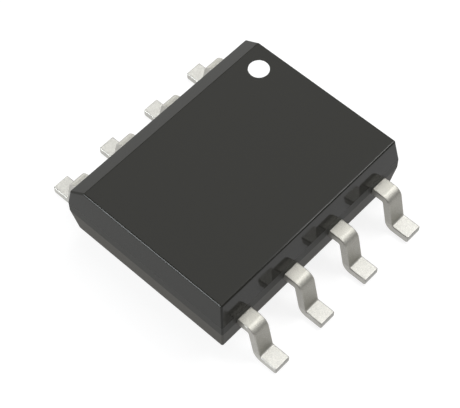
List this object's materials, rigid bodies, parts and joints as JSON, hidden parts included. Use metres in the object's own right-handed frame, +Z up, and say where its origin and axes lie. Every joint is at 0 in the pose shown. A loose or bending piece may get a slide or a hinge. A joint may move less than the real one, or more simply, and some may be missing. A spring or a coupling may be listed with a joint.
{
  "type": "soic chip",
  "caption": "Surface-mount chip package: black moulded block with rows of bent gull-wing leads, a bevelled long edge and an index dot; paddle, die and bond wires inside.",
  "frame": {"origin": "centre of the footprint, in the plane of the undersides of the feet", "axes": "+X across the package towards the row of leads 5 to 8, +Y along the rows towards leads 1 and 8, +Z up"},
  "size_m": [0.006, 0.005, 0.0017],
  "materials": {
    "moulding_compound": "fine satin",
    "tinned_lead": "matte tin plate",
    "copper_alloy": "rolled",
    "silver_epoxy": "cured paste",
    "silicon": "polished",
    "gold_wire": "drawn",
    "white_ink": "matte"
  },
  "bodies": {
    "root": {"body": "moulding_compound", "lead_1": "tinned_lead", "lead_2": "tinned_lead", "lead_3": "tinned_lead", "lead_4": "tinned_lead", "lead_5": "tinned_lead", "lead_6": "tinned_lead", "lead_7": "tinned_lead", "lead_8": "tinned_lead", "die_paddle": "copper_alloy", "die_attach": "silver_epoxy", "die": "silicon", "bond_wire_1": "gold_wire", "bond_wire_2": "gold_wire", "bond_wire_3": "gold_wire", "bond_wire_4": "gold_wire", "bond_wire_5": "gold_wire", "bond_wire_6": "gold_wire", "bond_wire_7": "gold_wire", "bond_wire_8": "gold_wire", "pin_1_dot": "white_ink"}
  },
  "joints": []
}
